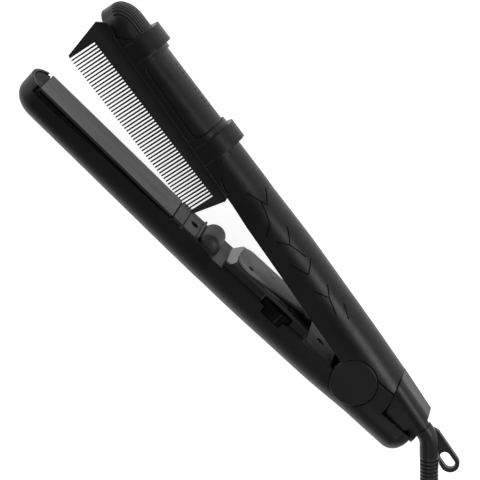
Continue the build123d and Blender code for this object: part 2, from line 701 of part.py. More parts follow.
def make_plate():
    half = PLATE_LENGTH / 2
    plate = box(-half, half, -PLATE_THICKNESS, 0, -PLATE_WIDTH / 2, PLATE_WIDTH / 2)
    plate = fillet([edge for edge in plate.edges().filter_by(Axis.X) if edge.center().Y > -0.1], PLATE_ROUND)
    foot = -PLATE_THICKNESS - RAIL_DEPTH
    reach = half - HEATER_MARGIN
    rail = box(-reach, reach, foot, -PLATE_THICKNESS, RAIL_PLACE - RAIL_WIDTH / 2, RAIL_PLACE + RAIL_WIDTH / 2)
    return plate + both_sides(rail)


def plate_room():
    """Room that a plate sweeps as it is pressed into its arm."""
    half = PLATE_LENGTH / 2 + PLATE_ROOM_GAP
    wide = PLATE_WIDTH / 2 + PLATE_ROOM_GAP
    return box(-half, half, -PLATE_THICKNESS - PLATE_TRAVEL - PLATE_ROOM_GAP, 0, -wide, wide)


def make_heater():
    half = PLATE_LENGTH / 2 - HEATER_MARGIN
    foot = -PLATE_THICKNESS - HEATER_DEPTH
    return box(-half, half, foot, -PLATE_THICKNESS, -HEATER_WIDTH / 2, HEATER_WIDTH / 2)


def make_pads():
    top = -PLATE_THICKNESS - HEATER_DEPTH - PLATE_TRAVEL - STOP_CLEARANCE
    return [upright(place, 0, PAD_RADIUS, -POCKET_DEPTH, top) for place in (-PAD_SPACING / 2, PAD_SPACING / 2)]


def make_carrier(side):
    """Trough that holds the plate: a flange on the rim, a round front end and a pocket."""
    half = PLATE_LENGTH / 2
    nose = half - (PLATE_REAR_REACH + PLATE_LENGTH - NOSE_REACH)
    wide, foot = CARRIER_HALF_WIDTH, CARRIER_FOOT_HALF_WIDTH
    ledge, shoulder = -LEDGE_DEPTH, -CARRIER_SIDE_DEPTH
    right = [(0, ledge), (wide, ledge), (wide, shoulder), (foot, -CARRIER_DEPTH), (0, -CARRIER_DEPTH)]
    left = [(-z, y) for z, y in reversed(right[1:-1])]
    face = Face(Wire.make_polygon([(-nose, y, z) for z, y in right + left], close=True))
    trough = extrude(face, amount=nose + half + STOP_CLEARANCE, dir=(1, 0, 0))
    half_face = Face(Wire.make_polygon([(-nose, y, z) for z, y in right], close=True))
    trough += revolve(half_face, axis=Axis((-nose, 0, 0), (0, -1, 0)), revolution_arc=180)
    step = upright(-nose, 0, wide, ledge, -HALF_MOON_DROP)
    trough += step & box(-BIG, -half - SEAM_GAP, -BIG, BIG, -BIG, BIG)
    reach = half - HEATER_MARGIN + POCKET_CLEARANCE
    pocket_half = RAIL_PLACE + RAIL_WIDTH / 2 + POCKET_CLEARANCE
    pocket = box(-reach, reach, -POCKET_DEPTH, 0, -pocket_half, pocket_half)
    edge_width = CARRIER_FLANGE_HALF_WIDTH
    flange = box(-nose, half + STOP_CLEARANCE, -CARRIER_SIDE_DEPTH, ledge, -edge_width, edge_width)
    flange += upright(-nose, 0, edge_width, -CARRIER_SIDE_DEPTH, ledge)
    flange = plate_seat(side) * flange
    above_rim = box(-HOOD_REACH + SEAM_GAP, 0, side * arm_rim(side), -side * BIG, -BIG, BIG)
    carrier = plate_seat(side) * trough + (flange & above_rim) - plate_seat(side) * pocket
    return carrier if side < 0 else opened(carrier)


# Upper arm


def swivel_bar(radius, reach_front, reach_rear):
    """Round bar along the swivel's axis between two reaches."""
    length = reach_front - reach_rear
    middle = -(reach_front + reach_rear) / 2
    return Pos(middle, SLEEVE_LEVEL, 0) * Rot(Y=90) * Cylinder(radius, length)


def behind_seam(distance):
    """Everything behind a slanted plane at a distance from the hinge's axis."""
    return Rot(Z=SLEEVE_SLANT) * box(distance, BIG, -BIG, BIG, -BIG, BIG)


def nose_grooves():
    """Fine grip ribs along the back of the upper nose."""
    skin = nose_form(1, UPPER_RIM, 0.0) - nose_form(1, UPPER_RIM - 1, NOSE_RIB_DEPTH)
    reaches = [NOSE_REACH, NOSE_RIB_REAR_REACH]
    barrel_skin = stretch(1, reaches, UPPER_RIM, 0.0) - stretch(1, reaches, UPPER_RIM - 1, NOSE_RIB_DEPTH)
    low = UPPER_RIM + SIDE_STRIP
    grooves = []
    for k in range(NOSE_RIBS):
        z = (k - (NOSE_RIBS - 1) / 2) * NOSE_RIB_PITCH
        half = NOSE_RIB_WIDTH / 2
        room = box(-TIP_REACH - 1, -NOSE_RIB_REAR_REACH, low, BIG, z - half, z + half)
        grooves.append(skin & room)
        grooves.append(barrel_skin & room)
    return grooves


def vent_holes():
    """Row of small vents along each side of the upper barrel's back."""
    holes = []
    step = (VENT_FRONT_REACH - VENT_REAR_REACH) / (VENTS - 1)
    for k in range(VENTS):
        reach = VENT_REAR_REACH + step * k
        crown = back_level(1, reach)
        bar = Pos(-reach, UPPER_RIM + SIDE_STRIP, 0) * Rot(X=VENT_LEAN) * Pos(0, crown, 0)
        holes.append(bar * Rot(X=90) * Cylinder(VENT_RADIUS, crown))
    return holes


def make_upper_shell():
    form = arm_form(1, UPPER_RIM, 0.0, UPPER_END_REACH)
    shell = form + hooded_nose(1) - hollow_form(1, UPPER_END_REACH - 1)
    for groove in nose_grooves():
        shell -= groove
    for hole in vent_holes():
        shell -= both_sides(hole)
    shell -= plate_seat(1) * plate_room()
    shell -= cap_room(CHEEK_INNER - SIDE_GAP / 2)
    top = back_level(1, 0) - WALL / 2
    knuckle = across(KNUCKLE_RADIUS, KNUCKLE_INNER, KNUCKLE_OUTER)
    knuckle += box(-KNUCKLE_RADIUS, KNUCKLE_RADIUS, 0, top, KNUCKLE_INNER, KNUCKLE_OUTER) & form
    shell += both_sides(knuckle)
    shell -= across(PIN_RADIUS + RUNNING_GAP, -HALF_WIDTH, HALF_WIDTH)
    for post in screw_posts(1, (UPPER_SCREW_REACH, REAR_SCREW_REACH), form):
        shell += post
    shell = opened(shell - behind_seam(SEAM_RADIUS))
    room = box(0, BIG, -BIG, SEAM_HEIGHT + SEAM_GAP, CHEEK_INNER - SIDE_GAP / 2, HALF_WIDTH + 1)
    return shell - both_sides(room)


def make_upper_cover():
    """Inner cover: flat ends with a recessed nest that takes the stop and the controls."""
    rim, flat = UPPER_RIM, UPPER_RIM + FRAME_THICKNESS
    roof = UPPER_RIM + NEST_DEPTH
    cover = plan(strip_outline(FRAME_FRONT_REACH, NEST_FRONT_REACH, FRAME_CLEARANCE), rim, flat)
    cover += plan(strip_outline(NEST_REAR_REACH, FRAME_REAR_REACH, FRAME_CLEARANCE), rim, flat)
    cover += plan(strip_outline(NEST_FRONT_REACH, NEST_REAR_REACH, NEST_CLEARANCE), roof, roof + NEST_ROOF)
    front_half = half_width(NEST_FRONT_REACH) - WALL - NEST_CLEARANCE
    rear_half = half_width(NEST_REAR_REACH) - WALL - NEST_CLEARANCE
    cover += box(-NEST_FRONT_REACH - NEST_ROOF, -NEST_FRONT_REACH, rim, roof + NEST_ROOF, -front_half, front_half)
    cover += box(-NEST_REAR_REACH, -NEST_REAR_REACH + NEST_ROOF, rim, roof + NEST_ROOF, -rear_half, rear_half)
    seat = UPPER_RIM + SCREW_HEAD_HEIGHT
    for reach in (UPPER_SCREW_REACH, REAR_SCREW_REACH):
        cover -= upright(-reach, 0, SCREW_HEAD_RADIUS + SCREW_GAP, rim - 1, seat)
        cover -= upright(-reach, 0, SCREW_SHANK_RADIUS + SCREW_GAP, seat, flat + 1)
    return opened(cover)


def make_cover_screws():
    seat = UPPER_RIM + SCREW_HEAD_HEIGHT
    return [opened(screw(reach, 1, seat)) for reach in (UPPER_SCREW_REACH, REAR_SCREW_REACH)]


def sleeve_form(inset, drop=0.0):
    """Rounded sleeve that tapers towards the cord; a drop takes its lower side further down."""
    faces = []
    ends = ((SLEEVE_START_REACH, SLEEVE_HALF_WIDTH, SLEEVE_HALF_HEIGHT),
            (SLEEVE_TAPER_REACH, SLEEVE_END_HALF_WIDTH, SLEEVE_END_HALF_HEIGHT))
    for reach, width, height in ends:
        plane = Plane(origin=(-reach, SLEEVE_LEVEL - drop / 2, 0), x_dir=(0, 0, 1), z_dir=(1, 0, 0))
        corner = SLEEVE_CORNER - inset
        faces.append(plane * RectangleRounded(2 * (width - inset), 2 * (height - inset) + drop, corner))
    return loft(faces, ruled=True)


def make_rear_sleeve():
    """Sleeve with a skirt that runs on down between the heel's sides and ends ahead of its rear wall."""
    skirt = sleeve_form(0.0, SLEEVE_SKIRT_DROP) & box(-BIG, -SLEEVE_SKIRT_REACH, -BIG, BIG, -BIG, BIG)
    pocket = sleeve_form(SLEEVE_WALL, SLEEVE_SKIRT_DROP) - sleeve_form(0.0)
    skirt -= pocket & box(-BIG, -SLEEVE_SKIRT_REACH - SLEEVE_WALL, -BIG, SLEEVE_LEVEL, -BIG, BIG)
    sleeve = (sleeve_form(0.0) + skirt) & behind_seam(SEAM_RADIUS + SEAM_GAP)
    end_place = Pos(-SLEEVE_END_REACH, SLEEVE_LEVEL, 0) * Rot(Z=SLEEVE_END_SLANT)
    sleeve -= end_place * box(0, BIG, -BIG, BIG, -BIG, BIG)
    sleeve -= sleeve_form(SLEEVE_WALL) & box(-BIG, -SLEEVE_FLOOR_REACH, -BIG, BIG, -BIG, BIG)
    return opened(sleeve - swivel_bar(SWIVEL_NECK_RADIUS + RUNNING_GAP, 0, -BIG))


def make_swivel_retainer():
    half = RETAINER_THICKNESS / 2
    slab = box(-RETAINER_REACH - half, -RETAINER_REACH + half, -BIG, BIG, -BIG, BIG)
    plate = sleeve_form(SLEEVE_WALL + RUNNING_GAP) & slab
    return opened(plate - swivel_bar(CORD_RADIUS, 0, -BIG))


def biarc(start, start_way, end, end_way):
    """Two arcs that leave a point one way and reach another point another way."""
    span = end - start
    way = start_way + end_way
    slack = 2 * (1 - start_way.dot(end_way))
    reach = (-span.dot(way) + math.sqrt(span.dot(way) ** 2 + slack * span.dot(span))) / slack
    first_end = (start + end + (start_way - end_way) * reach) * 0.5
    second_way = (end - end_way * reach) - (start + start_way * reach)
    first = Edge.make_tangent_arc(start, start_way, first_end)
    return [first, Edge.make_tangent_arc(first_end, second_way.normalized(), end)]


def wound_path(points, ways):
    """Chain of arcs through points with a direction at each."""
    edges = []
    for k in range(len(points) - 1):
        edges += biarc(points[k], ways[k], points[k + 1], ways[k + 1])
    return edges


def tube(edges, radius):
    """Round tube along joined lines and arcs."""
    path = Wire(edges)
    start = Plane(origin=path @ 0, z_dir=path % 0)
    return sweep(start * Circle(radius), path=path), path.length


def make_hinge_spring():
    """Torsion spring round the pin, with a leg towards each arm."""
    points, ways = [], []
    rise = SPRING_PITCH / (2 * math.pi)
    height = SPRING_PITCH * SPRING_HALF_TURNS / 2
    for k in range(SPRING_HALF_TURNS + 1):
        angle = math.pi * k - math.pi / 2
        z = SPRING_PITCH * k / 2 - height / 2
        points.append(Vector(SPRING_RADIUS * math.cos(angle), SPRING_RADIUS * math.sin(angle), z))
        way = Vector(-SPRING_RADIUS * math.sin(angle), SPRING_RADIUS * math.cos(angle), rise)
        ways.append(way.normalized())
    first = Edge.make_line(points[0] - ways[0] * SPRING_LEG, points[0])
    last = Edge.make_line(points[-1], points[-1] + ways[-1] * SPRING_LEG)
    spring, length = tube([first] + wound_path(points, ways) + [last], SPRING_WIRE / 2)
    return opened(spring)


# Comb attachment


def clip_form(outset, low, proud, front, rear):
    """Channel round the upper barrel between two reaches."""
    faces = []
    for reach in (front, rear):
        width, back = BARREL_HALF_WIDTH + outset, back_level(1, reach) + max(outset, proud)
        faces.append(crown_section(1, reach, low, width, back))
    return loft(faces, ruled=True)


def clip_side_view(z0, z1):
    """Side view of the clip: a swept front edge, a hollow rear edge and a straight lower edge."""
    front_low, front_high = (-CLIP_FRONT_REACH, CLIP_LOW), (-CLIP_RING_REACH, CLIP_HIGH)
    rear_low, rear_high = (-CLIP_REAR_REACH, CLIP_LOW), (-REAR_RING_REACH, CLIP_HIGH)
    front_bow = [front_low] + [(-reach, level) for reach, level in CLIP_FRONT_BOW]
    front_bow.append((-CLIP_RING_REACH, CLIP_FRONT_TOP))
    rear_bow = [(-REAR_RING_REACH, CLIP_REAR_TOP)] + [(-reach, level) for reach, level in CLIP_REAR_HOLLOW]
    edges = [Edge.make_spline([Vector(*point) for point in front_bow])]
    edges.append(Edge.make_line(front_bow[-1], front_high))
    edges.append(Edge.make_line(front_high, rear_high))
    edges.append(Edge.make_line(rear_high, rear_bow[0]))
    edges.append(Edge.make_spline([Vector(*point) for point in rear_bow]))
    edges.append(Edge.make_line(rear_bow[-1], rear_low))
    edges.append(Edge.make_line(rear_low, front_low))
    return extrude(Pos(0, 0, z0) * Face(Wire(edges)), amount=z1 - z0, dir=(0, 0, 1))


def comb_blade():
    """Comb with its teeth: each gap is wider at the tips than at the root."""
    pitch = (TOOTH_FRONT_REACH - TOOTH_REAR_REACH) / TOOTH_GAPS
    outline = [(-reach, level) for reach, level in BLADE_REAR_EDGE]
    for k in range(TOOTH_GAPS):
        share = (k + 0.5) / TOOTH_GAPS
        x = -TOOTH_REAR_REACH - pitch * (k + 0.5)
        root = TOOTH_REAR_ROOT + (TOOTH_FRONT_ROOT - TOOTH_REAR_ROOT) * share
        tip = TOOTH_REAR_TIP + (TOOTH_FRONT_TIP - TOOTH_REAR_TIP) * share
        wide, narrow = pitch * (1 - TOOTH_TIP_SHARE) / 2, pitch * (1 - TOOTH_ROOT_SHARE) / 2
        outline += [(x + wide, tip), (x + narrow, root), (x - narrow, root), (x - wide, tip)]
    outline += [(-reach, level) for reach, level in BLADE_FRONT_EDGE]
    outline.append((-CLIP_FRONT_REACH + BLADE_TOP, BLADE_TOP))
    return profile(outline, BLADE_INNER, BLADE_INNER + BLADE_THICKNESS)


def make_comb():
    low, outset = -4.0, CLIP_CLEARANCE + CLIP_WALL
    plain = outset - RING_SIDE_STEP
    body = clip_form(plain, low, 0.0, NOSE_REACH, BARREL_END_REACH)
    side_low, side_high = BARREL_HALF_WIDTH + CLIP_CLEARANCE, BARREL_HALF_WIDTH + plain
    shoulder = UPPER_RIM + SIDE_STRIP
    body += both_sides(box(-TIP_REACH, -NOSE_REACH, low, shoulder, side_low, side_high))
    body += clip_form(outset, low, RING_PROUD, CLIP_RING_REACH, FRONT_RING_REACH)
    body += clip_form(outset, low, RING_PROUD, REAR_RING_FRONT_REACH, REAR_RING_REACH)
    body -= clip_form(CLIP_CLEARANCE, low - 1, 0.0, NOSE_REACH, BARREL_END_REACH)
    body &= clip_side_view(-HALF_WIDTH - 1, HALF_WIDTH + 1)
    middle, length = (WINDOW_REAR_REACH + WINDOW_FRONT_REACH) / 2, WINDOW_FRONT_REACH - WINDOW_REAR_REACH
    window = Pos(-middle, WINDOW_LEVEL + CLIP_HIGH, 0) * RectangleRounded(length, 2 * CLIP_HIGH, WINDOW_CORNER)
    body -= extrude(window, amount=HALF_WIDTH + 1, both=True)
    return opened(body + comb_blade())


# Cord


def elbow_path():
    """Centre line of the elbow: straight out of the sleeve, then a bend towards the lower arm."""
    mouth = Vector(-SLEEVE_END_REACH + ELBOW_START, SLEEVE_LEVEL, 0)
    turn = math.radians(ELBOW_TURN)
    bend = Vector(ELBOW_BEND_RADIUS * math.sin(turn), -ELBOW_BEND_RADIUS * (1 - math.cos(turn)), 0)
    return mouth, mouth + bend, Vector(math.cos(turn), -math.sin(turn), 0)


def make_elbow():
    """Swivelling elbow with the hanging loop moulded on."""
    mouth, bent, way = elbow_path()
    edges = [Edge.make_line(mouth - Vector(ELBOW_START - ELBOW_GAP, 0, 0), mouth)]
    edges.append(Edge.make_tangent_arc(mouth, Vector(1, 0, 0), bent))
    edges.append(Edge.make_line(bent, bent + way * ELBOW_END))
    elbow, length = tube(edges, ELBOW_RADIUS)
    elbow += swivel_bar(SWIVEL_NECK_RADIUS, SWIVEL_FLANGE_REACH, SLEEVE_END_REACH - ELBOW_START)
    half = SWIVEL_FLANGE_LENGTH / 2
    elbow += swivel_bar(SWIVEL_FLANGE_RADIUS, SWIVEL_FLANGE_REACH + half, SWIVEL_FLANGE_REACH - half)
    loop_end = mouth.X + LOOP_REACH
    level = SLEEVE_LEVEL + LOOP_SPREAD
    loop_place = Pos(loop_end - LOOP_LENGTH / 2, level, -LOOP_DROP)
    loop = extrude(loop_place * SlotOverall(LOOP_LENGTH, LOOP_WIDTH), amount=LOOP_THICKNESS / 2, both=True)
    rim = (LOOP_WIDTH - LOOP_HOLE_WIDTH) / 2
    hole_place = Pos(loop_end - rim - LOOP_HOLE_LENGTH / 2, level, -LOOP_DROP)
    hole = extrude(hole_place * SlotOverall(LOOP_HOLE_LENGTH, LOOP_HOLE_WIDTH), amount=LOOP_THICKNESS, both=True)
    relief_room = Plane(origin=bent + way * ELBOW_END, z_dir=way).location
    relief_room *= Pos(0, 0, LOOP_LENGTH / 2) * Cylinder(RELIEF_START_RADIUS + LOOP_GAP, LOOP_LENGTH)
    return opened(elbow + (loop - hole - relief_room))


def cord_frame():
    """Plane at the elbow's end: x along the cord, y square to it in the arms' plane."""
    mouth, bent, way = elbow_path()
    end = (bent + way * ELBOW_END).rotate(Axis.Z, -OPEN_ANGLE)
    return Plane(origin=end, x_dir=way.rotate(Axis.Z, -OPEN_ANGLE), z_dir=(0, 0, 1))


def make_strain_relief():
    """Flexible relief: rings on a core, a little smaller towards the cord."""
    outline = [(0.0, 0.0)]
    for k in range(RELIEF_RIBS):
        radius = RELIEF_START_RADIUS + (RELIEF_END_RADIUS - RELIEF_START_RADIUS) * k / (RELIEF_RIBS - 1)
        start, stop = RELIEF_PITCH * k, RELIEF_PITCH * (k + RELIEF_RIB_SHARE)
        outline += [(start, radius), (stop, radius), (stop, RELIEF_CORE_RADIUS)]
        outline.append((RELIEF_PITCH * (k + 1), RELIEF_CORE_RADIUS))
    outline.append((RELIEF_LENGTH, 0.0))
    face = Face(Wire.make_polygon([(x, y, 0) for x, y in outline], close=True))
    return cord_frame().location * revolve(face, axis=Axis.X)


def cord_route():
    """Points of the free cord from the relief to the coil's lead."""
    start = Vector(RELIEF_LENGTH, 0, 0)
    points = [start] + [start + Vector(x, y, 0) + Vector(0, 0, COIL_HEIGHT * share) for x, y, share in RUN_POINTS]
    return [cord_frame().from_local_coords(point) for point in points]


def make_cord_run():
    points = cord_route()
    runs = [(points[k + 1] - points[k]).length for k in range(len(points) - 1)]
    radii = []
    for k in range(1, len(points) - 1):
        turn = math.radians((points[k] - points[k - 1]).get_angle(points[k + 1] - points[k]))
        radii.append(CORNER_SHARE * min(runs[k - 1], runs[k]) / math.tan(turn / 2))
    path = FilletPolyline(*points, radius=radii)
    run, length = tube(path.edges(), CORD_RADIUS)
    print("cord run radii", [round(radius, 1) for radius in radii], "length", round(length, 1))
    print("cord run volume", round(run.volume, 1), "section by length", round(math.pi * CORD_RADIUS ** 2 * length, 1))
    return run


def coil_points():
    """Points and directions of the coil: in along the bottom layer, up, and out along the top one."""
    points, ways = [], []
    slope = COIL_PITCH / (2 * math.pi)
    inner = COIL_RADIUS - slope * COIL_QUARTERS_IN * math.pi / 2
    for k in range(COIL_QUARTERS_IN + COIL_QUARTERS_OUT + 1):
        offset = (k - COIL_QUARTERS_IN) * math.pi / 2
        turn = k * math.pi / 2
        share = min(max(k - COIL_QUARTERS_IN, -1), 1)
        rise = COIL_PITCH * (1 + share) / 2
        climb = COIL_PITCH / 2 if share == 0 else 0.0
        radius, grow = inner + slope * abs(offset), slope * share
        out, side = Vector(math.cos(turn), math.sin(turn), 0), Vector(-math.sin(turn), math.cos(turn), 0)
        points.append(out * radius + Vector(0, 0, rise))
        ways.append((side * radius + out * grow + Vector(0, 0, climb)).normalized())
    return points, ways


def coil_in_place():
    """The coil's points and directions, joined on to the free run, and its turned axes."""
    route = cord_route()
    heading = (route[-1] - route[-2]).normalized()
    points, ways = coil_points()
    turn = math.degrees(math.atan2(heading.Y, heading.X) - math.atan2(ways[0].Y, ways[0].X))
    points = [point.rotate(Axis.Z, turn) for point in points]
    ways = [way.rotate(Axis.Z, turn) for way in ways]
    shift = route[-1] + ways[0] * COIL_LEAD - points[0]
    return [point + shift for point in points], ways, shift, turn


def make_cord_coil():
    points, ways, shift, turn = coil_in_place()
    edges = [Edge.make_line(points[0] - ways[0] * COIL_LEAD, points[0])] + wound_path(points, ways)
    edges.append(Edge.make_line(points[-1], points[-1] + ways[-1] * PLUG_LEAD))
    coil, length = tube(edges, CORD_RADIUS)
    print("coil length", round(length, 1), "volume", round(coil.volume, 1),
          "section by length", round(math.pi * CORD_RADIUS ** 2 * length, 1))
    samples = []
    for edge in edges:
        count = max(2, int(edge.length / 3))
        samples += [edge @ (n / count) for n in range(count)]
    skip = int(3 * CORD_DIAMETER / 3) + 4
    least = min((samples[a] - samples[b]).length for a in range(len(samples)) for b in range(a + skip, len(samples)))
    print("coil least gap", round(least - CORD_DIAMETER, 2))
    return coil


def make_coil_tie():
    """Strap round all the coil's strands, a quarter turn on from the cord's entry."""
    points, ways, shift, turn = coil_in_place()
    slope = COIL_PITCH / (2 * math.pi)
    inner = COIL_RADIUS - slope * COIL_QUARTERS_IN * math.pi / 2 - CORD_RADIUS - TIE_INNER_GAP
    outer = COIL_RADIUS - slope * math.pi / 2 + CORD_RADIUS + TIE_GAP
    half = CORD_RADIUS + TIE_GAP
    width, height = outer - inner, COIL_PITCH + 2 * half
    ring = RectangleRounded(width + 2 * TIE_THICKNESS, height + 2 * TIE_THICKNESS, half)
    ring -= RectangleRounded(width, height, half - TIE_THICKNESS)
    strap = extrude(Plane.XZ * ring, amount=TIE_WIDTH / 2, both=True)
    placed = Pos(0, (inner + outer) / 2, COIL_PITCH / 2) * Rot(Z=90) * strap
    return Pos(shift.X, shift.Y, shift.Z) * Rot(Z=turn) * placed


def plug_frame():
    points, ways, shift, turn = coil_in_place()
    return Plane(origin=points[-1] + ways[-1] * PLUG_LEAD, x_dir=ways[-1], z_dir=(0, 0, 1))


def make_plug_body():
    neck = Rot(Y=90) * Cone(PLUG_NECK_START, PLUG_NECK_END, PLUG_NECK_LENGTH)
    body = Box(PLUG_LENGTH, PLUG_WIDTH, PLUG_HEIGHT)
    body = fillet(body.edges().filter_by(Axis.X), PLUG_CORNER)
    front = [edge for edge in body.edges() if edge.center().X < -PLUG_LENGTH / 2 + 0.01]
    body = chamfer(front, PLUG_CORNER / 2)
    middle = PLUG_NECK_LENGTH + PLUG_LENGTH / 2
    return plug_frame().location * (Pos(PLUG_NECK_LENGTH / 2, 0, 0) * neck + Pos(middle, 0, 0) * body)


def make_plug_pins():
    pins = []
    start = PLUG_NECK_LENGTH + PLUG_LENGTH
    for z in (-PIN_SPACING / 2, PIN_SPACING / 2):
        pin = Box(PIN_LENGTH, PIN_WIDTH, PIN_THICKNESS)
        tip = [edge for edge in pin.edges().filter_by(Axis.Z) if edge.center().X > 0]
        pins.append(plug_frame().location * (Pos(start + PIN_LENGTH / 2, 0, z) * chamfer(tip, 1.0)))
    return pins


# All pieces


def build_all():
    """Every piece by its node name, about the arms' mid-plane."""
    pieces = {
        "upper_shell": make_upper_shell(),
        "upper_cover": make_upper_cover(),
        "upper_cover_screws": make_cover_screws(),
        "upper_plate_carrier": make_carrier(1),
        "upper_plate_pads": [seated(1, pad) for pad in make_pads()],
        "upper_plate": seated(1, make_plate()),
        "upper_heater": seated(1, make_heater()),
        "rear_sleeve": make_rear_sleeve(),
        "swivel_retainer": make_swivel_retainer(),
        "hinge_spring": make_hinge_spring(),
        "lower_shell": make_lower_shell(),
        "lower_frame": make_lower_frame(),
        "lower_frame_screws": make_frame_screws(),
        "lower_plate_carrier": make_carrier(-1),
        "lower_plate_pads": [seated(-1, pad) for pad in make_pads()],
        "lower_plate": seated(-1, make_plate()),
        "lower_heater": seated(-1, make_heater()),
        "control_housing": make_control_housing(),
        "control_plate": make_control_plate(),
        "control_plate_screws": make_control_screws(),
        "indicator_lens": make_indicator_lens(),
        "thumbwheel": make_thumbwheel(),
        "dial_potentiometer": make_dial_potentiometer(),
        "circuit_board": make_circuit_board(),
        "hinge_pin": make_hinge_pin(),
        "near_hinge_cap": make_cap(1),
        "far_hinge_cap": make_cap(-1),
        "comb_attachment": make_comb(),
        "cord_elbow": make_elbow(),
        "strain_relief": make_strain_relief(),
        "cord_run": make_cord_run(),
        "cord_coil": make_cord_coil(),
        "coil_tie": make_coil_tie(),
        "plug_body": make_plug_body(),
        "plug_pins": make_plug_pins(),
    }
    return pieces


def write_all(pieces):
    """Lifts each piece so that the far cap's face lies at z = 0 and writes it to its own file."""
    os.makedirs("parts", exist_ok=True)
    for name, piece in pieces.items():
        solids = []
        for item in (piece if isinstance(piece, list) else [piece]):
            solids += item.solids()
        lifted = [Pos(0, 0, HALF_WIDTH) * solid for solid in solids]
        shape = lifted[0] if len(lifted) == 1 else Compound(children=lifted)
        export_step(shape, "parts/" + name + ".step")


if __name__ == "__main__":
    write_all(build_all())
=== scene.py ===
import math

import bmesh
import bpy
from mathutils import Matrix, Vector
from mathutils.bvhtree import BVHTree


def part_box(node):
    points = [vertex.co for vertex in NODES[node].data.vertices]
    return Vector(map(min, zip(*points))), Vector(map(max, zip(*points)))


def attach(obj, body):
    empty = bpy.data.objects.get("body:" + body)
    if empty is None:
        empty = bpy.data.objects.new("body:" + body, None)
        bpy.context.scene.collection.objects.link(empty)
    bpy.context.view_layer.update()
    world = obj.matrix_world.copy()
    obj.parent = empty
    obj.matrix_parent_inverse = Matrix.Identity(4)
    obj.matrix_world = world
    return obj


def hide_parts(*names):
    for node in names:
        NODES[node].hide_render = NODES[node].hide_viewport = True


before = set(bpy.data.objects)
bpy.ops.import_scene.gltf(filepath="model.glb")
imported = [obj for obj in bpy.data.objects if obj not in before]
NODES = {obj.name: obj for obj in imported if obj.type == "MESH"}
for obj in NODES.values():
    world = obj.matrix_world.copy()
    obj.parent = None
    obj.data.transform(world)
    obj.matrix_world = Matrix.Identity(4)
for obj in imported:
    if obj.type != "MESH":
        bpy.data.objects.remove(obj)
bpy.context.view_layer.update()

# Frames

MILLIMETRE = 0.001
# How far the upper arm stands open at rest, and the height of the plane that halves both arms.
OPEN_ANGLE = math.radians(13.0)
MID_PLANE = 0.0157


def on_upper(reach, level, height):
    """A point given along the open upper arm.

    Reach is measured from the hinge, level square to the arm's rim, height from the middle plane.
    """
    x = -reach * math.cos(OPEN_ANGLE) + level * math.sin(OPEN_ANGLE)
    y = reach * math.sin(OPEN_ANGLE) + level * math.cos(OPEN_ANGLE)
    return Vector((x, y, MID_PLANE + height))


# Materials

# Nearly all of a noise lies between these two values.
NOISE_LOW, NOISE_HIGH = 0.3, 0.7
COAT_ROUGHNESS = 0.1
EDGE_SAMPLES = 6


